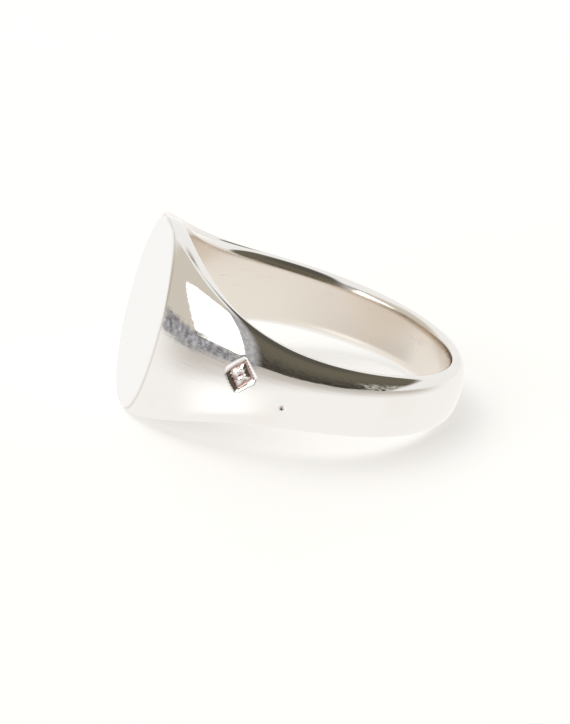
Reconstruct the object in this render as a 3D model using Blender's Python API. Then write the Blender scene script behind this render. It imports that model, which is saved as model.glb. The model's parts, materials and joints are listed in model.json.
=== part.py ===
"""A silver signet ring, bench made, lying on its side. Metres, +Z up.

Every piece is drawn in the ring's own frame: the finger hole's axis is Z, the head is at -X, and the
side with the punched mark is at -Y. The empty "ring_axis" then tips the ring about Y, so that the lower
edge of the head and the lower edge of the band both touch Z = 0.

The ring's surface is a row of cross-sections that runs from the outline of the flat table, round the
finger hole, to the base of the band. Planes cut it into the pieces that a goldsmith solders together.
Angles round the finger hole are measured from the head, and grow towards -Y.
"""
import math

import bmesh
import bpy
from mathutils import Matrix, Vector

MM = 0.001

# Finger hole and the base of the band
BORE_RADIUS = 9.5 * MM
BAND_RADIUS = 10.75 * MM
BAND_HALF_WIDTH = 1.86 * MM
BAND_SQUARENESS = 2.6
CREST_RISE = 0.30 * MM
RIM_DROP = 0.70 * MM

# Flat table of the head
TABLE_DISTANCE = 10.68 * MM
TABLE_HALF_LENGTH = 6.22 * MM
TABLE_HALF_WIDTH = 5.00 * MM
TABLE_SQUARENESS = 2.2
TABLE_RIM_DROP = 0.20 * MM

# Growth from the base of the band to the head: an even swell, and a flare that comes late
WIDTH_SWELL = 0.75 * MM
WIDTH_FLARE = 6.4
CREST_SWELL = 0.84 * MM
CREST_FLARE = 2.37
EQUATOR_SWELL = 0.80 * MM
EQUATOR_FLARE = 4.8
RIM_FLARE = 2.25

# Soldered joints
SHOULDER_JOINT = math.radians(40)
SHANK_JOINT = math.radians(115)
TABLE_THICKNESS = 0.9 * MM
SOLDER_HALF_THICKNESS = 0.03 * MM
JOINT_HALF_GAP = 0.05 * MM

# Punched lozenge mark on the near shoulder
MARK_SHARE = 0.219
MARK_HEIGHT = 0.27 * MM
MARK_HALF_WIDTH = 1.0 * MM
MARK_HALF_HEIGHT = 1.15 * MM
MARK_DEPTH = 0.25 * MM
MARK_FRAME = 0.45 * MM

# Fineness of the facets
STATIONS = 26
SIDE_STEPS = 12
RIM_STEPS = 3
WELD = 0.1e-6

SILVER = (0.86, 0.85, 0.83, 1)
SOLDER = (0.72, 0.72, 0.70, 1)


# ---- The ring's surface ---------------------------------------------------------------------------

def closeness(angle):
    """1 at the head, 0 at the base of the band."""
    return (1 + math.cos(angle)) / 2


def grow(base, swell, head, near, flare):
    """A size that swells evenly towards the head and flares into it."""
    return base + swell * near + (head - base - swell) * near ** flare


def around(radius, angle):
    """A point on a circle round the finger hole."""
    return Vector((-radius * math.cos(angle), -radius * math.sin(angle), 0))


def crest(angle):
    """The highest line of the ring's edge, on the side of +Z."""
    near = closeness(angle)
    radius = grow(BORE_RADIUS + CREST_RISE, CREST_SWELL, TABLE_DISTANCE, near, CREST_FLARE)
    height = grow(BAND_HALF_WIDTH, WIDTH_SWELL, TABLE_HALF_LENGTH, near, WIDTH_FLARE)
    return around(radius, angle) + Vector((0, 0, height))


def equator(share):
    """The ring's outermost line, from the side of the table (0) to the base of the band (1)."""
    corner = math.atan2(TABLE_HALF_WIDTH, TABLE_DISTANCE)
    angle = corner + (math.pi - corner) * share
    near = closeness(angle) / closeness(corner)
    corner_radius = math.hypot(TABLE_DISTANCE, TABLE_HALF_WIDTH)
    return around(grow(BAND_RADIUS, EQUATOR_SWELL, corner_radius, near, EQUATOR_FLARE), angle)


def cross_section(share):
    """One closed cross-section of the near half: domed outside, rolled rims and a straight bore."""
    angle = math.pi * share
    near = closeness(angle)
    top = crest(angle)
    outermost = equator(share)
    squareness = BAND_SQUARENESS + (TABLE_SQUARENESS - BAND_SQUARENESS) * near
    dome = []
    for step in range(SIDE_STEPS + 1):
        lean = math.radians(180 * step / SIDE_STEPS - 90)
        outward = max(math.cos(lean), 0) ** (2 / squareness)
        height = math.copysign(abs(math.sin(lean)) ** (2 / squareness), lean)
        point = top.lerp(outermost, outward)
        dome.append(Vector((point.x, point.y, top.z * height)))
    drop = RIM_DROP + (TABLE_RIM_DROP - RIM_DROP) * near ** RIM_FLARE
    crest_radius = math.hypot(top.x, top.y)
    rim = []
    for step in range(1, RIM_STEPS + 1):
        roll = math.radians(90 * step / RIM_STEPS)
        radius = crest_radius - (crest_radius - BORE_RADIUS) * math.sin(roll)
        rim.append(around(radius, angle) + Vector((0, 0, top.z - drop * (1 - math.cos(roll)))))
    low_rim = [Vector((point.x, point.y, -point.z)) for point in reversed(rim)]
    return dome + rim + low_rim


def solid_ring():
    """The whole ring as one closed mesh, before it is cut into its pieces."""
    mesh = bmesh.new()
    loops = []
    for station in range(STATIONS + 1):
        share = (station / STATIONS) ** 1.3
        loops.append([mesh.verts.new(point) for point in cross_section(share)])
    points = len(loops[0])
    for first, second in zip(loops, loops[1:]):
        for index in range(points):
            following = (index + 1) % points
            mesh.faces.new((first[index], first[following], second[following], second[index]))
    bmesh.ops.mirror(mesh, geom=mesh.faces[:] + mesh.edges[:] + mesh.verts[:], axis="Y", merge_dist=0)
    bmesh.ops.remove_doubles(mesh, verts=mesh.verts, dist=WELD)
    close(mesh)
    return mesh


def close(mesh):
    """Fill every open outline with a flat face."""
    open_edges = [edge for edge in mesh.edges if edge.is_boundary]
    bmesh.ops.holes_fill(mesh, edges=open_edges, sides=0)
    bmesh.ops.recalc_face_normals(mesh, faces=mesh.faces)


# ---- Cutting the ring into pieces -----------------------------------------------------------------

def keep_behind(mesh, point, normal):
    """Cut away all that lies in front of a plane, and close the cut."""
    geometry = mesh.verts[:] + mesh.edges[:] + mesh.faces[:]
    bmesh.ops.bisect_plane(
        mesh, geom=geometry, dist=WELD, plane_co=point, plane_no=normal, clear_outer=True
    )
    close(mesh)


def across(angle):
    """The direction in which the angle round the finger hole grows."""
    return Vector((math.sin(angle), -math.cos(angle), 0))


def wedge(mesh, start, end, gap):
    """Keep what lies between two angles, a gap short of each."""
    keep_behind(mesh, across(start) * gap, -across(start))
    keep_behind(mesh, -across(end) * gap, across(end))


def thin_slice(mesh, angle):
    """Keep only the film of solder at one angle."""
    film = across(angle) * SOLDER_HALF_THICKNESS
    keep_behind(mesh, film, across(angle))
    keep_behind(mesh, -film, -across(angle))
    keep_behind(mesh, Vector(), -around(1, angle))


def outside_of(mesh, distance):
    """Keep what lies further out than a plane parallel to the table."""
    keep_behind(mesh, Vector((-distance, 0, 0)), Vector((1, 0, 0)))


def inside_of(mesh, distance):
    """Keep what lies nearer to the finger hole than a plane parallel to the table."""
    keep_behind(mesh, Vector((-distance, 0, 0)), Vector((-1, 0, 0)))


# ---- Objects --------------------------------------------------------------------------------------

def metal(name, colour, roughness):
    """A metal finish."""
    material = bpy.data.materials.new(name)
    material.use_nodes = True
    shader = material.node_tree.nodes["Principled BSDF"]
    shader.inputs["Base Color"].default_value = colour
    shader.inputs["Metallic"].default_value = 1
    shader.inputs["Roughness"].default_value = roughness
    return material


def add_object(name, mesh, material, parent):
    """Turn a bmesh into a smooth-shaded object on the ring's axis."""
    data = bpy.data.meshes.new(name)
    mesh.to_mesh(data)
    mesh.free()
    data.shade_smooth()
    data.set_sharp_from_angle(angle=math.radians(35))
    data.materials.append(material)
    piece = bpy.data.objects.new(name, data)
    piece.parent = parent
    bpy.context.scene.collection.objects.link(piece)
    return piece


def signet_table(parent):
    """The flat plate that carries the owner's seal."""
    mesh = solid_ring()
    outside_of(mesh, TABLE_DISTANCE - TABLE_THICKNESS + JOINT_HALF_GAP)
    add_object("signet_table", mesh, metal("table_silver", SILVER, 0.12), parent)


def table_solder(parent):
    """The film of solder between the plate and the head."""
    mesh = solid_ring()
    middle = TABLE_DISTANCE - TABLE_THICKNESS
    outside_of(mesh, middle - SOLDER_HALF_THICKNESS)
    inside_of(mesh, middle + SOLDER_HALF_THICKNESS)
    add_object("table_solder", mesh, metal("table_solder", SOLDER, 0.2), parent)


def head_block(parent):
    """The block under the plate, hollowed by the finger hole."""
    mesh = solid_ring()
    inside_of(mesh, TABLE_DISTANCE - TABLE_THICKNESS - JOINT_HALF_GAP)
    wedge(mesh, -SHOULDER_JOINT, SHOULDER_JOINT, JOINT_HALF_GAP)
    add_object("head_block", mesh, metal("head_silver", SILVER, 0.1), parent)


def shoulder(name, side, parent):
    """One tapering side of the ring, between the head and the shank."""
    mesh = solid_ring()
    start, end = sorted((side * SHOULDER_JOINT, side * SHANK_JOINT))
    wedge(mesh, start, end, JOINT_HALF_GAP)
    return add_object(name, mesh, metal(name + "_silver", SILVER, 0.1), parent)


def shank(parent):
    """The lower hoop, opposite the head."""
    mesh = solid_ring()
    wedge(mesh, SHANK_JOINT, 2 * math.pi - SHANK_JOINT, JOINT_HALF_GAP)
    add_object("shank", mesh, metal("shank_silver", SILVER, 0.1), parent)


def solder_film(name, angle, parent):
    """The solder of one butt joint in the hoop."""
    mesh = solid_ring()
    thin_slice(mesh, angle)
    add_object(name, mesh, metal(name, SOLDER, 0.2), parent)


def mark_punch(parent):
    """Cutter for the punched mark: a lozenge frame round a raised lozenge."""
    mesh = bmesh.new()
    corners = ((1, 0), (0, 1), (-1, 0), (0, -1))
    outer = [
        mesh.verts.new((MARK_HALF_WIDTH * across_share, MARK_HALF_HEIGHT * up_share, 0))
        for across_share, up_share in corners
    ]
    face = mesh.faces.new(outer)
    face.normal_update()
    bmesh.ops.inset_individual(mesh, faces=[face], thickness=MARK_FRAME)
    bmesh.ops.delete(mesh, geom=[face], context="FACES_ONLY")
    thicken = bmesh.ops.extrude_face_region(mesh, geom=mesh.faces[:])
    lifted = [item for item in thicken["geom"] if isinstance(item, bmesh.types.BMVert)]
    bmesh.ops.translate(mesh, verts=lifted, vec=(0, 0, 2 * MM))
    bmesh.ops.recalc_face_normals(mesh, faces=mesh.faces)
    punch = add_object("mark_punch", mesh, metal("punch", SOLDER, 0.5), parent)
    punch.hide_render = True
    punch.display_type = "WIRE"
    return punch


def punch_mark(piece, parent):
    """Press the mark into the outside of a shoulder."""
    punch = mark_punch(parent)
    point = surface_point(MARK_SHARE, MARK_HEIGHT)
    outward = surface_normal(MARK_SHARE, MARK_HEIGHT)
    sideways = Vector((0, 0, 1)).cross(outward).normalized()
    upward = outward.cross(sideways)
    place = Matrix((sideways, upward, outward)).transposed().to_4x4()
    place.translation = point - outward * MARK_DEPTH
    punch.matrix_local = place
    cut = piece.modifiers.new("mark", "BOOLEAN")
    cut.operation = "DIFFERENCE"
    cut.solver = "EXACT"
    cut.object = punch


def surface_point(share, height):
    """The point of the domed outside at one station and height."""
    top = crest(math.pi * share)
    squareness = BAND_SQUARENESS + (TABLE_SQUARENESS - BAND_SQUARENESS) * closeness(math.pi * share)
    outward = (1 - abs(height / top.z) ** squareness) ** (1 / squareness)
    point = top.lerp(equator(share), outward)
    return Vector((point.x, point.y, height))


def surface_normal(share, height):
    """The outward direction of the domed outside, from two short chords."""
    along = surface_point(share + 0.01, height) - surface_point(share - 0.01, height)
    up = surface_point(share, height + 0.1 * MM) - surface_point(share, height - 0.1 * MM)
    return along.cross(up).normalized()


# ---- The ring at rest -----------------------------------------------------------------------------

def lowest(points, tilt):
    """Height of the lowest of some points after a turn about Y."""
    return min(point.z * math.cos(tilt) - point.x * math.sin(tilt) for point in points)


def rest_tilt(points):
    """The turn about Y that brings the head and the base of the band to one level."""
    head = [point for point in points if point.x < 0]
    base = [point for point in points if point.x > 0]
    least, most = 0, math.radians(45)
    for _ in range(50):
        tilt = (least + most) / 2
        if lowest(head, tilt) < lowest(base, tilt):
            least = tilt
        else:
            most = tilt
    return tilt


def ring_axis():
    """The empty on the finger hole's axis that lays the ring on its side, centred on the origin."""
    mesh = solid_ring()
    points = [vertex.co.copy() for vertex in mesh.verts]
    mesh.free()
    tilt = rest_tilt(points)
    turned = [Matrix.Rotation(tilt, 3, "Y") @ point for point in points]
    lengthwise = [point.x for point in turned]
    axis = bpy.data.objects.new("ring_axis", None)
    axis.rotation_euler = (0, tilt, 0)
    axis.location = (-(min(lengthwise) + max(lengthwise)) / 2, 0, -lowest(points, tilt))
    bpy.context.scene.collection.objects.link(axis)
    return axis


def main():
    for item in list(bpy.data.objects):
        bpy.data.objects.remove(item)
    axis = ring_axis()
    signet_table(axis)
    table_solder(axis)
    head_block(axis)
    marked = shoulder("shoulder_near", 1, axis)
    punch_mark(marked, axis)
    shoulder("shoulder_far", -1, axis)
    shank(axis)
    solder_film("shoulder_solder_near", SHOULDER_JOINT, axis)
    solder_film("shoulder_solder_far", -SHOULDER_JOINT, axis)
    solder_film("shank_solder_near", SHANK_JOINT, axis)
    solder_film("shank_solder_far", -SHANK_JOINT, axis)
    bpy.context.view_layer.update()


main()
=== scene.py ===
"""A polished silver signet ring, lying on its side on a pale table in a soft light tent.

The ring is modelled in its own frame: the finger hole's axis is Z, the head is at -X, and the side with
the punched mark is at -Y. Angles round the finger hole are measured from the head, and grow towards -Y.
A sheet is rolled up into the whole ring, which is then sliced into the pieces that a goldsmith solders
together. Each slice takes the place of the CAD solid of the same name.
"""
import json
import math

import bpy
from mathutils import Matrix, Quaternion, Vector


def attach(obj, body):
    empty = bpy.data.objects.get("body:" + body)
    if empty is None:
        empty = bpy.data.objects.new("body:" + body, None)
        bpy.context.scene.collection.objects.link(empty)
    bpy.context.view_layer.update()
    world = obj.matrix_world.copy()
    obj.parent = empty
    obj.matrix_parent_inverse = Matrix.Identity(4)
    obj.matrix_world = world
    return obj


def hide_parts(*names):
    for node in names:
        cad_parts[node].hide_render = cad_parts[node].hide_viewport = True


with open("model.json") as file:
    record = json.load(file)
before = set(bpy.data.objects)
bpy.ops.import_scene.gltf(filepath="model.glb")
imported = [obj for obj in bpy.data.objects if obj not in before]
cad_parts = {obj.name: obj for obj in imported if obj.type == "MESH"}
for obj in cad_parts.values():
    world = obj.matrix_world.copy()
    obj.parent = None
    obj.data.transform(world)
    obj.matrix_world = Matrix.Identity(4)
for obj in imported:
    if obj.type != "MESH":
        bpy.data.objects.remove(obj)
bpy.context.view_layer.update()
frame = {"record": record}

MM = 0.001

# Finger hole and the base of the band
BORE_RADIUS = 9.5 * MM
BAND_RADIUS = 10.75 * MM
BAND_HALF_WIDTH = 1.86 * MM
BAND_SQUARENESS = 2.6
CREST_RISE = 0.30 * MM
RIM_DROP = 0.70 * MM

# Flat table of the head
TABLE_DISTANCE = 10.68 * MM
TABLE_HALF_LENGTH = 6.22 * MM
TABLE_HALF_WIDTH = 5.00 * MM
TABLE_SQUARENESS = 2.2
TABLE_RIM_DROP = 0.20 * MM
TABLE_EDGE = 0.09 * MM

# Growth from the base of the band to the head: an even swell, and a flare that comes late
WIDTH_SWELL = 0.75 * MM
WIDTH_FLARE = 6.4
CREST_SWELL = 0.84 * MM
CREST_FLARE = 2.37
EQUATOR_SWELL = 0.80 * MM
EQUATOR_FLARE = 4.8
RIM_FLARE = 2.25

# Soldered joints
SHOULDER_JOINT = math.radians(40)
SHANK_JOINT = math.radians(115)
TABLE_THICKNESS = 0.9 * MM
SOLDER_HALF_THICKNESS = 0.03 * MM

# Punched lozenge mark on the near shoulder
MARK_SHARE = 0.219
MARK_HEIGHT = 0.27 * MM
MARK_HALF_WIDTH = 1.0 * MM
MARK_HALF_HEIGHT = 1.15 * MM
MARK_DEPTH = 0.2 * MM
MARK_REACH = 0.6 * MM
MARK_FLOOR_SHARE = 0.86
PETALS = 4
PETAL_MIDDLE = 0.47
PETAL_SWING = 0.14
PETAL_EDGE = 0.07
DIMPLE_EDGE = (0.08, 0.2)
ROSETTE_RISE = 0.8

# Small casting pit below the middle of the near shoulder
PIT_SHARE = 0.322
PIT_HEIGHT = -0.99 * MM
PIT_RADIUS = 0.21 * MM
PIT_DEPTH = 0.12 * MM

# Fineness of the mesh: the first stations stand close together, for the table's soft edge
STATIONS = 260
EDGE_STATIONS = 8
EDGE_SHARE = 0.006
EDGE_CROWDING = 1.5
DOME_STEPS = 96
RIM_STEPS = 14
BORE_STEPS = 24
NORMAL_SHARE = 0.01
NORMAL_CHORD = 0.1 * MM
WELD = 0.5e-6
CUT_PRECISION = 1e-8

# A face keeps its own flat normal if it faces away from the polish, or has this many corners
CUT_COSINE = 0.3
FLAT_CORNERS = 12


# ---- The ring's surface ---------------------------------------------------------------------------

def closeness(angle):
    """1 at the head, 0 at the base of the band."""
    return (1 + math.cos(angle)) / 2


def grow(base, swell, head, near, flare):
    """A size that swells evenly towards the head and flares into it."""
    return base + swell * near + (head - base - swell) * near ** flare


def around(radius, angle):
    """A point on a circle round the finger hole."""
    return Vector((-radius * math.cos(angle), -radius * math.sin(angle), 0))


def crest(angle):
    """The highest line of the ring's edge, on the side of +Z."""
    near = closeness(angle)
    radius = grow(BORE_RADIUS + CREST_RISE, CREST_SWELL, TABLE_DISTANCE, near, CREST_FLARE)
    height = grow(BAND_HALF_WIDTH, WIDTH_SWELL, TABLE_HALF_LENGTH, near, WIDTH_FLARE)
    return around(radius, angle) + Vector((0, 0, height))


def equator(share):
    """The ring's outermost line, from the side of the table (0) to the base of the band (1)."""
    corner = math.atan2(TABLE_HALF_WIDTH, TABLE_DISTANCE)
    angle = corner + (math.pi - corner) * share
    near = closeness(angle) / closeness(corner)
    corner_radius = math.hypot(TABLE_DISTANCE, TABLE_HALF_WIDTH)
    return around(grow(BAND_RADIUS, EQUATOR_SWELL, corner_radius, near, EQUATOR_FLARE), angle)


def squareness_at(share):
    """How boxy the dome is, as the power of its superellipse."""
    return BAND_SQUARENESS + (TABLE_SQUARENESS - BAND_SQUARENESS) * closeness(math.pi * share)


def cross_section(share):
    """One closed cross-section of the near half: domed outside, rolled rims and a straight bore."""
    angle = math.pi * share
    near = closeness(angle)
    top = crest(angle)
    outermost = equator(share)
    power = 2 / squareness_at(share)
    dome = []
    for step in range(DOME_STEPS + 1):
        lean = math.radians(180 * step / DOME_STEPS - 90)
        height = math.copysign(abs(math.sin(lean)) ** power, lean)
        point = top.lerp(outermost, max(math.cos(lean), 0) ** power)
        dome.append(Vector((point.x, point.y, top.z * height)))
    drop = RIM_DROP + (TABLE_RIM_DROP - RIM_DROP) * near ** RIM_FLARE
    crest_radius = math.hypot(top.x, top.y)
    rim = []
    for step in range(1, RIM_STEPS + 1):
        roll = math.radians(90 * step / RIM_STEPS)
        radius = crest_radius - (crest_radius - BORE_RADIUS) * math.sin(roll)
        rim.append(around(radius, angle) + Vector((0, 0, top.z - drop * (1 - math.cos(roll)))))
    low_rim = [Vector((point.x, point.y, -point.z)) for point in reversed(rim)]
    bore = [rim[-1].lerp(low_rim[0], step / BORE_STEPS) for step in range(1, BORE_STEPS)]
    return dome + rim + bore + low_rim


def surface_point(share, height):
    """The point of the domed outside at one station and height."""
    top = crest(math.pi * share)
    power = squareness_at(share)
    outward = (1 - abs(height / top.z) ** power) ** (1 / power)
    point = top.lerp(equator(share), outward)
    return Vector((point.x, point.y, height))


def surface_normal(share, height):
    """The outward direction of the domed outside, from two short chords."""
    along = surface_point(share + NORMAL_SHARE, height) - surface_point(share - NORMAL_SHARE, height)
    up = surface_point(share, height + NORMAL_CHORD) - surface_point(share, height - NORMAL_CHORD)
    return along.cross(up).normalized()


def smoothstep(low, high, value):
    """0 below low, 1 above high, and a smooth rise between."""
    share = min(max((value - low) / (high - low), 0), 1)
    return share * share * (3 - 2 * share)


# ---- Mesh work ------------------------------------------------------------------------------------

def only(*objects):
    """Leave edit mode and select nothing but these objects."""
    if bpy.context.object and bpy.context.object.mode != "OBJECT":
        bpy.ops.object.mode_set(mode="OBJECT")
    bpy.ops.object.select_all(action="DESELECT")
    for item in objects:
        item.select_set(True)
    bpy.context.view_layer.objects.active = objects[0]


def edit_all(piece):
    """Open a piece in edit mode with all of it selected."""
    only(piece)
    bpy.ops.object.mode_set(mode="EDIT")
    bpy.ops.mesh.select_all(action="SELECT")


def station_share(station):
    """How far round the near half a station stands, from the table (0) to the base of the band (1)."""
    if station < EDGE_STATIONS:
        return EDGE_SHARE * (station / EDGE_STATIONS) ** EDGE_CROWDING
    return EDGE_SHARE + (1 - EDGE_SHARE) * (station - EDGE_STATIONS) / (STATIONS - EDGE_STATIONS)


def rolled_sheet():
    """A flat grid rolled up into the ring: its rows become cross-sections, and its four edges meet."""
    sections = [cross_section(station_share(station)) for station in range(STATIONS + 1)]
    points = len(sections[0])
    rows = 2 * STATIONS + 1
    bpy.ops.object.select_all(action="DESELECT")
    bpy.ops.mesh.primitive_grid_add(x_subdivisions=points, y_subdivisions=rows, size=BAND_RADIUS)
    ring = bpy.context.object
    ring.name = "whole_ring"
    for vertex in ring.data.vertices:
        row, step = divmod(vertex.index, points + 1)
        station = row % rows
        if station <= STATIONS:
            vertex.co = sections[station][step % points]
        else:
            point = sections[2 * STATIONS - station][step % points]
            vertex.co = Vector((point.x, -point.y, point.z))
    edit_all(ring)
    bpy.ops.mesh.remove_doubles(threshold=WELD)
    bpy.ops.mesh.normals_make_consistent(inside=False)
    bpy.ops.object.mode_set(mode="OBJECT")
    return ring


def soften_table_edge(ring):
    """Pull the ring in close to the table, so that the table's outline is a small round edge."""
    for vertex in ring.data.vertices:
        depth = max(vertex.co.x + TABLE_DISTANCE, 0)
        if depth >= TABLE_EDGE:
            continue
        inset = TABLE_EDGE * (1 - depth / TABLE_EDGE) ** 2
        outline = Vector((0, vertex.co.y, vertex.co.z))
        vertex.co -= outline.normalized() * min(inset, outline.length)


def trim_table(ring):
    """Make the table one flat face, with a narrow flat margin."""
    only(ring)
    bpy.ops.object.mode_set(mode="EDIT")
    bpy.ops.mesh.select_all(action="DESELECT")
    bpy.ops.mesh.select_mode(type="FACE")
    bpy.ops.object.mode_set(mode="OBJECT")
    for face in ring.data.polygons:
        face.select = all(
            abs(ring.data.vertices[index].co.x + TABLE_DISTANCE) < WELD for index in face.vertices
        )
    bpy.ops.object.mode_set(mode="EDIT")
    bpy.ops.mesh.dissolve_faces()
    bpy.ops.mesh.inset(thickness=TABLE_EDGE)
    bpy.ops.object.mode_set(mode="OBJECT")


def press_mark(ring):
    """Sink the punched mark: a lozenge frame round a raised rosette of four petals."""
    middle = surface_point(MARK_SHARE, MARK_HEIGHT)
    outward = surface_normal(MARK_SHARE, MARK_HEIGHT)
    sideways = Vector((0, 0, 1)).cross(outward).normalized()
    upward = outward.cross(sideways)
    sunk = ring.data.attributes.new("sunk", "FLOAT", "POINT")
    for vertex in ring.data.vertices:
        offset = vertex.co - middle
        if offset.dot(outward) < -MARK_REACH:
            continue
        across = offset.dot(sideways) / MARK_HALF_WIDTH
        rise = offset.dot(upward) / MARK_HALF_HEIGHT
        lozenge = abs(across) + abs(rise)
        reach = math.hypot(across, rise)
        petal = PETAL_MIDDLE + PETAL_SWING * math.cos(PETALS * math.atan2(rise, across))
        pocket = 1 - smoothstep(MARK_FLOOR_SHARE, 1, lozenge)
        boss = 1 - smoothstep(petal - PETAL_EDGE, petal + PETAL_EDGE, reach)
        dimple = 1 - smoothstep(*DIMPLE_EDGE, reach)
        amount = pocket * (1 - ROSETTE_RISE * boss * (1 - dimple))
        sunk.data[vertex.index].value = amount
        vertex.co -= outward * MARK_DEPTH * amount


def sink_pit(ring):
    """A tiny pit that the polishing left."""
    middle = surface_point(PIT_SHARE, PIT_HEIGHT)
    outward = surface_normal(PIT_SHARE, PIT_HEIGHT)
    for vertex in ring.data.vertices:
        amount = 1 - smoothstep(0, PIT_RADIUS, (vertex.co - middle).length)
        if amount > 0:
            vertex.co -= outward * PIT_DEPTH * amount
            ring.data.attributes["sunk"].data[vertex.index].value = amount


def remember_polish(ring):
    """Keep the whole ring's smooth normals on its vertices, where slicing carries them along."""
    polish = ring.data.attributes.new("polish", "FLOAT_VECTOR", "POINT")
    for point, normal in zip(polish.data, ring.data.vertex_normals):
        point.vector = normal.vector


def whole_ring():
    """The finished surface of the whole ring, from which every piece is sliced."""
    ring = rolled_sheet()
    soften_table_edge(ring)
    trim_table(ring)
    press_mark(ring)
    sink_pit(ring)
    only(ring)
    bpy.ops.object.shade_smooth()
    remember_polish(ring)
    return ring


def cut(piece, point, normal):
    """Cut away all that lies in front of a plane, and close the cut."""
    edit_all(piece)
    bpy.ops.mesh.bisect(
        plane_co=point, plane_no=normal, use_fill=True, clear_outer=True, threshold=CUT_PRECISION
    )
    bpy.ops.object.mode_set(mode="OBJECT")


def copy_of(ring, name):
    """A piece with its own copy of the whole ring's mesh."""
    only(ring)
    bpy.ops.object.duplicate(linked=False)
    piece = bpy.context.object
    piece.name = name
    return piece


def across(angle):
    """The direction in which the angle round the finger hole grows."""
    return Vector((math.sin(angle), -math.cos(angle), 0))


def cut_wedge(piece, start, end):
    """Keep what lies between two joints, up to their solder."""
    cut(piece, across(start) * SOLDER_HALF_THICKNESS, -across(start))
    cut(piece, -across(end) * SOLDER_HALF_THICKNESS, across(end))


def cut_film(piece, angle):
    """Keep only the film of solder at one angle."""
    film = across(angle) * SOLDER_HALF_THICKNESS
    cut(piece, Vector(), -around(1, angle))
    cut(piece, film, across(angle))
    cut(piece, -film, -across(angle))


def cut_inside(piece, distance):
    """Cut away what is nearer to the finger hole than a plane parallel to the table."""
    cut(piece, Vector((-distance, 0, 0)), Vector((1, 0, 0)))


def cut_outside(piece, distance):
    """Cut away what is further out than a plane parallel to the table."""
    cut(piece, Vector((-distance, 0, 0)), Vector((-1, 0, 0)))


def keep_polish(piece):
    """Close up a slice, let the polish run on over its joints, and keep its cuts and the table flat."""
    edit_all(piece)
    bpy.ops.mesh.normals_make_consistent(inside=False)
    bpy.ops.object.mode_set(mode="OBJECT")
    mesh = piece.data
    polish = [Vector(point.vector) for point in mesh.attributes["polish"].data]
    normals = []
    for face in mesh.polygons:
        domed = len(face.vertices) < FLAT_CORNERS
        for index in face.vertices:
            smooth = domed and polish[index].dot(face.normal) > CUT_COSINE
            normals.append(polish[index] if smooth else face.normal.copy())
    mesh.normals_split_custom_set(normals)
    mesh.attributes.remove(mesh.attributes["polish"])


def lay_down(piece, place):
    """Put a piece where the frame holds the ring, with its place in its mesh."""
    only(piece)
    piece.matrix_world = place
    bpy.ops.object.transform_apply(location=True, rotation=True, scale=True)


def ring_place():
    """Where the frame holds the ring, from its seal face."""
    seal = next(mount for mount in frame["record"]["mounts"] if mount["name"] == "seal_face")
    face = Vector(seal["axis"])
    tilt = math.atan2(face.z, -face.x)
    turn = Matrix.Rotation(tilt, 4, "Y")
    centre = Vector(seal["pos_m"]) - turn @ Vector((-TABLE_DISTANCE, 0, 0))
    return Matrix.Translation(centre) @ turn


# ---- Materials ------------------------------------------------------------------------------------

class Socket:
    """A value in a shader, on which sums make Math nodes."""

    def __init__(self, shader, socket):
        self.shader = shader
        self.socket = socket

    def math(self, operation, *others):
        return self.shader.node("ShaderNodeMath", {"operation": operation}, {
            index: value for index, value in enumerate((self, *others))
        })

    def __add__(self, other):
        return self.math("ADD", other)

    __radd__ = __add__

    def __sub__(self, other):
        return self.math("SUBTRACT", other)

    def __rsub__(self, other):
        return self.math("MULTIPLY", -1) + other

    def __mul__(self, other):
        return self.math("MULTIPLY", other)

    __rmul__ = __mul__

    def __pow__(self, other):
        return self.math("POWER", other)

    def clamp(self):
        return self.shader.node("ShaderNodeClamp", {}, {"Value": self})


class Shader:
    """The node tree of a material or of the world."""

    def __init__(self, owner):
        owner.use_nodes = True
        self.tree = owner.node_tree

    def node(self, kind, settings=None, inputs=None, output=0):
        """Add a node, set it up, link its inputs and return one of its outputs."""
        made = self.tree.nodes.new(kind)
        for name, value in (settings or {}).items():
            setattr(made, name, value)
        for name, value in (inputs or {}).items():
            self.feed(made.inputs[name], value)
        return Socket(self, made.outputs[output])

    def feed(self, target, value):
        """Link a socket to an input, or set the input's own value."""
        if isinstance(value, Socket):
            self.tree.links.new(value.socket, target)
        else:
            target.default_value = value

    def mix(self, share, first, second):
        """A colour between two colours."""
        return self.node(
            "ShaderNodeMix", {"data_type": "RGBA"}, {0: share, 6: first, 7: second}, output=2
        )

    def noise(self, place, scale, detail):
        """Cloudy noise between 0 and 1."""
        return self.node("ShaderNodeTexNoise", {}, {"Vector": place, "Scale": scale, "Detail": detail})

    def step(self, low, high, value):
        """0 below low, 1 above high, and a smooth rise between."""
        return self.node(
            "ShaderNodeMapRange",
            {"interpolation_type": "SMOOTHSTEP"},
            {"Value": value, "From Min": low, "From Max": high},
        )


# Silver, a little warm, and warmer where a thin tarnish has begun, and solder; then painted shade for
# the finger hole's wall, inside the punched mark and the pit, and along the table's crease
SILVER = (0.90, 0.875, 0.85, 1)
LAPPED = (0.925, 0.92, 0.91, 1)
TARNISH = (0.86, 0.82, 0.775, 1)
BORE_PAINTED_SHADE = (0.83, 0.765, 0.69, 1)
SOLDER = (0.893, 0.873, 0.848, 1)
SUNK_PAINTED_SHADE = (0.40, 0.30, 0.27, 1)
CREASE_PAINTED_SHADE = (0.62, 0.58, 0.52, 1)

# Where each finish and each band of painted shade begins and ends, measured from the finger hole's wall
# and from the table
BORE_FADE = (0.01 * MM, 0.16 * MM)
FLAT_FADE = (0.01 * MM, 0.05 * MM)
CREASE_START = (0.05 * MM, 0.09 * MM)
CREASE_END = (0.10 * MM, 0.18 * MM)

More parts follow.
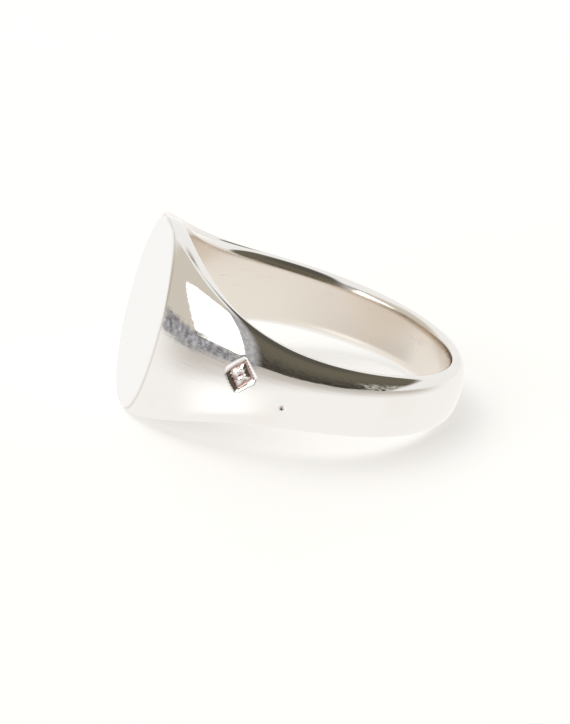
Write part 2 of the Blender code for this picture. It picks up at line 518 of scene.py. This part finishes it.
# Patterns of the surface, in features per metre
TARNISH_SCALE = 260
TARNISH_SPREAD = (0.45, 0.80)
HAZE_SCALE = 900
SCRATCH_SCALE = 5200
SCRATCH_SPREAD = (0.60, 0.74)
BAND_LAY = (0.12, 0.12, 1)
TABLE_LAY = (1, 0.1, 1)
WAVE_SCALE = 420
SCRATCH_RELIEF = 0.005 * MM
WAVE_RELIEF = 0.004 * MM

# Roughness of the polish, and what each kind of wear or finish adds to it
POLISH = 0.03
SOLDER_POLISH = 0.05
HAZE_ROUGHNESS = 0.04
SCRATCH_ROUGHNESS = 0.08
SUNK_ROUGHNESS = 0.25
BORE_ROUGHNESS = 0.17
LAPPED_ROUGHNESS = 0.07


def metal(name, place, clean, roughness):
    """Polished metal with faint tarnish, fine scratches along the band and the polisher's waves.

    The flat table is lapped and the finger hole is satin, with painted shade that darkens and warms the
    finger hole's wall. Painted shade also darkens the punched mark, the pit and a narrow band along the
    table's crease. Patterns lie in the ring's own frame.
    """
    material = bpy.data.materials.new(name)
    shader = Shader(material)
    own = shader.node("ShaderNodeMapping", {"vector_type": "TEXTURE"}, {
        "Vector": shader.node("ShaderNodeTexCoord", output=3),
        "Location": place.to_translation(),
        "Rotation": place.to_euler(),
    })
    split = shader.node("ShaderNodeSeparateXYZ", {}, {"Vector": own}).socket.node
    x, y = (Socket(shader, split.outputs[axis]) for axis in "XY")
    radius = (x * x + y * y) ** 0.5
    bore = 1 - shader.step(BORE_RADIUS + BORE_FADE[0], BORE_RADIUS + BORE_FADE[1], radius)
    depth = x + TABLE_DISTANCE
    flat = 1 - shader.step(*FLAT_FADE, depth)
    crease = shader.step(*CREASE_START, depth) * (1 - shader.step(*CREASE_END, depth))
    band_lay = shader.node("ShaderNodeMapping", {}, {"Vector": own, "Scale": BAND_LAY})
    table_lay = shader.node("ShaderNodeMapping", {}, {"Vector": own, "Scale": TABLE_LAY})
    cloud = shader.noise(own, TARNISH_SCALE, 4)
    haze = shader.noise(own, HAZE_SCALE, 5)
    lines = shader.noise(band_lay, SCRATCH_SCALE, 3)
    lapping = shader.noise(table_lay, SCRATCH_SCALE, 3)
    scratch = shader.step(*SCRATCH_SPREAD, lines)
    waves = shader.noise(own, WAVE_SCALE, 1)
    surface = shader.tree.nodes["Principled BSDF"]
    surface.inputs["Metallic"].default_value = 1
    tint = shader.mix(shader.step(*TARNISH_SPREAD, cloud) * 0.5, clean, TARNISH)
    # Painted shade: the finger hole's wall is darker and warmer, standing for the shade inside the ring
    tint = shader.mix(bore, tint, BORE_PAINTED_SHADE)
    # Painted shade: a narrow dark band just inside the table's crease
    tint = shader.mix(crease * 0.6, tint, CREASE_PAINTED_SHADE)
    tint = shader.mix(flat, tint, LAPPED)
    sunk = shader.node("ShaderNodeAttribute", {"attribute_name": "sunk"}, output=2)
    # Painted shade: the punched mark and the pit get darker and browner the deeper they are sunk
    tint = shader.mix((sunk * 1.2).clamp(), tint, SUNK_PAINTED_SHADE)
    shader.feed(surface.inputs["Base Color"], tint)
    wear = haze * HAZE_ROUGHNESS + scratch * SCRATCH_ROUGHNESS + sunk * SUNK_ROUGHNESS
    rough = roughness + wear + bore * BORE_ROUGHNESS + flat * LAPPED_ROUGHNESS
    shader.feed(surface.inputs["Roughness"], rough)
    relief = lines * (1 - bore * 0.8) * (1 - flat) + lapping * flat * 0.1
    fine = shader.node(
        "ShaderNodeBump", {}, {"Height": relief, "Strength": 0.5, "Distance": SCRATCH_RELIEF}
    )
    broad = shader.node(
        "ShaderNodeBump", {}, {"Height": waves, "Strength": 1.0, "Distance": WAVE_RELIEF, "Normal": fine}
    )
    shader.feed(surface.inputs["Normal"], broad)
    return material


# ---- The studio -----------------------------------------------------------------------------------

FLOOR_SIZE = 3.0
TENT = (0.94, 0.94, 0.93, 1)
ROOM_LOW = (0.045, 0.042, 0.034, 1)
ROOM_MIDDLE = (0.15, 0.135, 0.10, 1)
ROOM_HIGH = (0.10, 0.093, 0.075, 1)
ROOM_SPOT = (0.80, 0.78, 0.71, 1)
CURTAIN = (0.36, 0.36, 0.37, 1)
CURTAIN_PALE = (0.60, 0.60, 0.61, 1)
WALL = (0.66, 0.62, 0.54, 1)
GAP = (0.17, 0.17, 0.18, 1)
GAP_PALE = (0.56, 0.56, 0.58, 1)
WINDOW = (3.2, 3.2, 3.2, 1)
TABLE_FAR = (0.58, 0.55, 0.51, 1)
TABLE_NEAR = (1.0, 0.99, 0.975, 1)
TABLE_POOL = (1.25, 1.25, 1.24, 1)

# The dark opening lies in front of both of these planes
CURTAIN_PLANE = (0.836, -0.522, -0.170)
CURTAIN_SOFTNESS = 0.07
TENT_PLANE = (-0.280, -0.450, 0.847)
TENT_SOFTNESS = 0.05

# Where the rest stands, in degrees of bearing or height: a rise from one to the other, or a band from
# one to the other with the softness of its ends
ROOM_RISE = (-4, 26)
ROOM_FADE = (40, 58)
ROOM_STREAKS = 44
SPOT_STREAKS = (0.48, 0.56)
SPOT_BEARINGS = (42, 78, 8)
SPOT_HEIGHTS = (-6, 14, 5)
CURTAIN_BEARINGS = (-42, -10, 2)
CURTAIN_TOP = (52, 70)
CURTAIN_MOTTLE = (0.42, 0.62)
WALL_START = (-142, -120)
WALL_END = (-43, -39)
WALL_TOP = (56, 70)
WINDOW_BEARINGS = (-120, -40.5, 0.8)
WINDOW_SILL = (3, 5)
WINDOW_FOOT = (-75, 2)
WINDOW_LEAN = 1.45
WINDOW_CORNER = (-98, 18)
WINDOW_SLOPE = 0.48
WINDOW_EDGE = (-1.5, 1.5)
HORIZON = (-1, 0.5)
TABLE_DEPTH = (2, 15)
TABLE_TURN = (-0.3, 0.5)
POOL_BEARINGS = (-72, -34, 18)
POOL_HEIGHTS = (-38, -14, 8)
GAP_BEARINGS = (-108, -34, 4)
GAP_HEIGHTS = (-3, 3.2, 0.6)
GAP_RAGGEDNESS = 4
GAP_MOTTLE = (0.38, 0.64)


def light_tent():
    """What the silver mirrors: a white tent, open in front to a dark room, with a window at the left.

    Bearings are in degrees: 0 towards -Y, growing towards +X. Heights are degrees above the table.
    """
    world = bpy.data.worlds.new("light_tent")
    bpy.context.scene.world = world
    shader = Shader(world)
    way = shader.node("ShaderNodeTexCoord", output=0)
    node = shader.node("ShaderNodeSeparateXYZ", {}, {"Vector": way}).socket.node
    x, y, z = (Socket(shader, node.outputs[axis]) for axis in "XYZ")
    bearing = x.math("ARCTAN2", y * -1) * math.degrees(1)
    height = z.math("ARCSINE") * math.degrees(1)

    def band(value, low, high, soft):
        """1 between two values, with soft ends."""
        inside = shader.step(low - soft, low + soft, value)
        return inside * (1 - shader.step(high - soft, high + soft, value))

    def in_front(plane, soft):
        """1 on one side of a plane through the ring, with a soft border."""
        return shader.step(-soft, soft, x * plane[0] + y * plane[1] + z * plane[2])

    streaked = shader.node("ShaderNodeMapping", {}, {"Vector": way, "Scale": (3, 3, 14)})
    streaks = shader.noise(streaked, 5, 4)
    mottled = shader.node("ShaderNodeMapping", {}, {"Vector": way, "Scale": (1, 1, 3.4)})
    mottle = shader.noise(mottled, 18, 5)
    streaked_height = height + (streaks - 0.5) * ROOM_STREAKS
    room = shader.mix(shader.step(*ROOM_RISE, streaked_height), ROOM_LOW, ROOM_MIDDLE)
    room = shader.mix(shader.step(*ROOM_FADE, height), room, ROOM_HIGH)
    spots = shader.step(*SPOT_STREAKS, streaks) * band(bearing, *SPOT_BEARINGS)
    room = shader.mix(spots * band(height, *SPOT_HEIGHTS) * 0.9, room, ROOM_SPOT)
    curtain = band(bearing, *CURTAIN_BEARINGS) * (1 - shader.step(*CURTAIN_TOP, height))
    folds = shader.mix(shader.step(*CURTAIN_MOTTLE, mottle), CURTAIN, CURTAIN_PALE)
    colour = shader.mix(curtain, TENT, folds)
    opening = in_front(CURTAIN_PLANE, CURTAIN_SOFTNESS) * in_front(TENT_PLANE, TENT_SOFTNESS)
    colour = shader.mix(opening, colour, room)
    wall = shader.step(*WALL_START, bearing) * (1 - shader.step(*WALL_END, bearing))
    wall = wall * (1 - shader.step(*WALL_TOP, height))
    colour = shader.mix(wall, colour, WALL)
    from_foot = bearing - WINDOW_FOOT[0] + (height - WINDOW_FOOT[1]) * WINDOW_LEAN
    over_top = height - WINDOW_CORNER[1] - (bearing - WINDOW_CORNER[0]) * WINDOW_SLOPE
    window = shader.step(*WINDOW_EDGE, from_foot) * (1 - shader.step(*WINDOW_EDGE, over_top))
    window = window * band(bearing, *WINDOW_BEARINGS) * shader.step(*WINDOW_SILL, height)
    colour = shader.mix(window, colour, WINDOW)
    front = 1 - shader.step(*TABLE_TURN, y)
    table = shader.mix(
        shader.step(*TABLE_DEPTH, height * -1) * front + (1 - front), TABLE_FAR, TABLE_NEAR
    )
    pool = band(bearing, *POOL_BEARINGS) * band(height, *POOL_HEIGHTS)
    table = shader.mix(pool, table, TABLE_POOL)
    colour = shader.mix(shader.step(*HORIZON, height * -1), colour, table)
    ragged = height + (mottle - 0.5) * GAP_RAGGEDNESS
    gap = band(bearing, *GAP_BEARINGS) * band(ragged, *GAP_HEIGHTS)
    colour = shader.mix(gap, colour, shader.mix(shader.step(*GAP_MOTTLE, mottle), GAP, GAP_PALE))
    background = shader.tree.nodes["Background"]
    shader.feed(background.inputs["Color"], colour)


def soft_light(name, spot, size, power):
    """A soft lamp that lights the table but isn't mirrored in the silver."""
    lamp = bpy.data.lights.new(name, "AREA")
    lamp.size = size
    lamp.energy = power
    item = bpy.data.objects.new(name, lamp)
    item.location = spot
    item.rotation_euler = (-Vector(spot)).to_track_quat("-Z", "Y").to_euler()
    item.visible_glossy = False
    bpy.context.scene.collection.objects.link(item)


FLOOR_GLOW = 0.62
FLOOR_TINT = (1, 0.98, 0.95, 1)
FLOOR_PALE = (0.355, 0.35, 0.34, 1)
FLOOR_SHADE = (0.335, 0.33, 0.32, 1)


def table_top():
    """The pale light table that the ring lies on.

    The silver mirrors the lower half of the tent instead, so that the ring's shadow stays out of it.
    """
    bpy.ops.object.select_all(action="DESELECT")
    bpy.ops.mesh.primitive_plane_add(size=FLOOR_SIZE)
    floor = bpy.context.object
    floor.name = "table_top"
    material = bpy.data.materials.new("pale_table")
    shader = Shader(material)
    place = shader.node("ShaderNodeTexCoord", output=3)
    surface = shader.tree.nodes["Principled BSDF"]
    surface.inputs["Specular IOR Level"].default_value = 0.1
    paper = shader.mix(shader.noise(place, 60, 3), FLOOR_SHADE, FLOOR_PALE)
    shader.feed(surface.inputs["Base Color"], paper)
    surface.inputs["Roughness"].default_value = 0.6
    surface.inputs["Emission Color"].default_value = FLOOR_TINT
    surface.inputs["Emission Strength"].default_value = FLOOR_GLOW
    floor.data.materials.append(material)
    floor.visible_glossy = False


CAMERA_AIM = Vector((-0.563, -0.589, 2.873)) * MM
CAMERA_BEARING = math.radians(-11.0)
CAMERA_HEIGHT = math.radians(20.04)
CAMERA_ROLL = math.radians(3.53)
CAMERA_DISTANCE = 0.4
CAMERA_LENS = 308


def camera():
    """A long lens that looks down at the ring from the front."""
    back = Vector((
        math.sin(CAMERA_BEARING) * math.cos(CAMERA_HEIGHT),
        -math.cos(CAMERA_BEARING) * math.cos(CAMERA_HEIGHT),
        math.sin(CAMERA_HEIGHT),
    ))
    lens = bpy.data.cameras.new("camera")
    lens.lens = CAMERA_LENS
    lens.clip_start = 0.01
    item = bpy.data.objects.new("camera", lens)
    item.location = CAMERA_AIM + back * CAMERA_DISTANCE
    turn = (-back).to_track_quat("-Z", "Y") @ Quaternion((0, 0, 1), CAMERA_ROLL)
    item.rotation_euler = turn.to_euler()
    bpy.context.scene.collection.objects.link(item)
    bpy.context.scene.camera = item


def main():
    """Roll up the ring, slice it into its pieces, finish them and light them."""
    ring = whole_ring()
    place = ring_place()
    middle = TABLE_DISTANCE - TABLE_THICKNESS
    far_side = 2 * math.pi - SHANK_JOINT

    def piece(name, *cuts):
        made = copy_of(ring, name + "_metal")
        for shape, *values in cuts:
            shape(made, *values)
        keep_polish(made)
        lay_down(made, place)
        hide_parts(name)
        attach(made, "root")
        return made

    table = piece("signet_table", (cut_inside, middle + SOLDER_HALF_THICKNESS))
    table_film = piece(
        "table_solder",
        (cut_inside, middle - SOLDER_HALF_THICKNESS),
        (cut_outside, middle + SOLDER_HALF_THICKNESS),
    )
    head = piece(
        "head_block",
        (cut_outside, middle - SOLDER_HALF_THICKNESS),
        (cut_wedge, -SHOULDER_JOINT, SHOULDER_JOINT),
    )
    near = piece("shoulder_near", (cut_wedge, SHOULDER_JOINT, SHANK_JOINT))
    far = piece("shoulder_far", (cut_wedge, -SHANK_JOINT, -SHOULDER_JOINT))
    hoop = piece("shank", (cut_wedge, SHANK_JOINT, far_side))
    films = [
        piece("shoulder_solder_near", (cut_film, SHOULDER_JOINT)),
        piece("shoulder_solder_far", (cut_film, -SHOULDER_JOINT)),
        piece("shank_solder_near", (cut_film, SHANK_JOINT)),
        piece("shank_solder_far", (cut_film, -SHANK_JOINT)),
    ]
    bpy.data.objects.remove(ring)
    polished = metal("polished_silver", place, SILVER, POLISH)
    lapped = metal("lapped_silver", place, SILVER, POLISH)
    solder = metal("silver_solder", place, SOLDER, SOLDER_POLISH)
    finishes = (
        (polished, "polished_silver", (head, near, far, hoop)),
        (lapped, "table_silver", (table,)),
        (solder, "silver_solder", (table_film, *films)),
    )
    for finish, slot, members in finishes:
        for member in members:
            member.data.materials.append(finish)
    table_top()
    light_tent()
    soft_light("overhead", spot=(-0.2, 0.3, 0.9), size=1.2, power=4)
    soft_light("key_light", spot=(-0.25, 0.22, 0.5), size=0.35, power=1.1)
    camera()
    bpy.context.scene.view_settings.view_transform = "Standard"


main()
